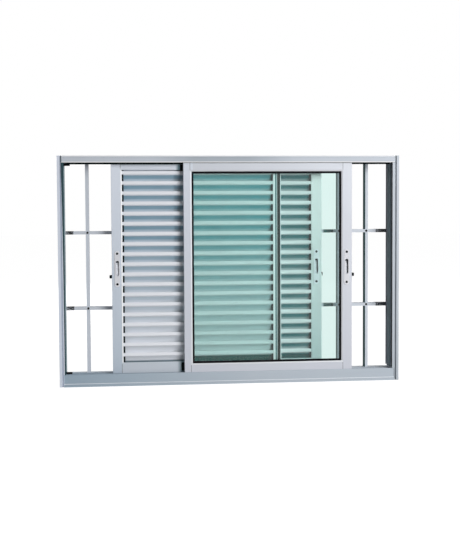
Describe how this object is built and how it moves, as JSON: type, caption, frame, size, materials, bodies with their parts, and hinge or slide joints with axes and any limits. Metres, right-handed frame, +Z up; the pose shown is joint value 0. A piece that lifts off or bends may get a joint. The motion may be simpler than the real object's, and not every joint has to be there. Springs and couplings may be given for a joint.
{
  "type": "sliding shuttered window with grille",
  "caption": "Aluminium sliding window with louvred shutter leaves, a green glass leaf and a fixed security grille in a multi-track frame",
  "frame": {"origin": "middle of the bottom of the frame, where the sill rests", "axes": "+X along the window to the right as seen from the room, +Y from the room to the outside, +Z up"},
  "size_m": [1.5, 0.13, 1],
  "materials": {
    "frame_aluminium": "satin anodised, natural silver",
    "leaf_aluminium": "satin anodised, natural silver",
    "slat_aluminium": "satin anodised, natural silver",
    "grille_aluminium": "satin anodised, natural silver",
    "green_glass": "clear float glass with a green tint",
    "gasket_rubber": "matt black glazing rubber",
    "latch_metal": "silver painted die casting",
    "black_nylon": "black nylon"
  },
  "bodies": {
    "root": {"frame_head": "frame_aluminium", "frame_sill": "frame_aluminium", "frame_jamb_left": "frame_aluminium", "frame_jamb_right": "frame_aluminium", "glass_leaf_lock_stile": "leaf_aluminium", "glass_leaf_meeting_stile": "leaf_aluminium", "glass_leaf_top_rail": "leaf_aluminium", "glass_leaf_bottom_rail": "leaf_aluminium", "glass_leaf_beads": "leaf_aluminium", "glass_leaf_pane": "green_glass", "glass_leaf_gasket": "gasket_rubber", "glass_leaf_latch": "latch_metal", "glass_leaf_catch": "black_nylon", "glass_leaf_rollers": "black_nylon", "glass_leaf_guides": "black_nylon", "left_shutter_lock_stile": "leaf_aluminium", "left_shutter_meeting_stile": "leaf_aluminium", "left_shutter_top_rail": "leaf_aluminium", "left_shutter_bottom_rail": "leaf_aluminium", "left_shutter_slats": "slat_aluminium", "left_shutter_latch": "latch_metal", "left_shutter_catch": "black_nylon", "left_shutter_rollers": "black_nylon", "left_shutter_guides": "black_nylon", "right_shutter_lock_stile": "leaf_aluminium", "right_shutter_meeting_stile": "leaf_aluminium", "right_shutter_top_rail": "leaf_aluminium", "right_shutter_bottom_rail": "leaf_aluminium", "right_shutter_slats": "slat_aluminium", "right_shutter_latch": "latch_metal", "right_shutter_catch": "black_nylon", "right_shutter_rollers": "black_nylon", "right_shutter_guides": "black_nylon", "grille_rail_lower": "grille_aluminium", "grille_rail_upper": "grille_aluminium", "grille_bars": "grille_aluminium", "track_end_stops": "gasket_rubber"}
  },
  "joints": []
}
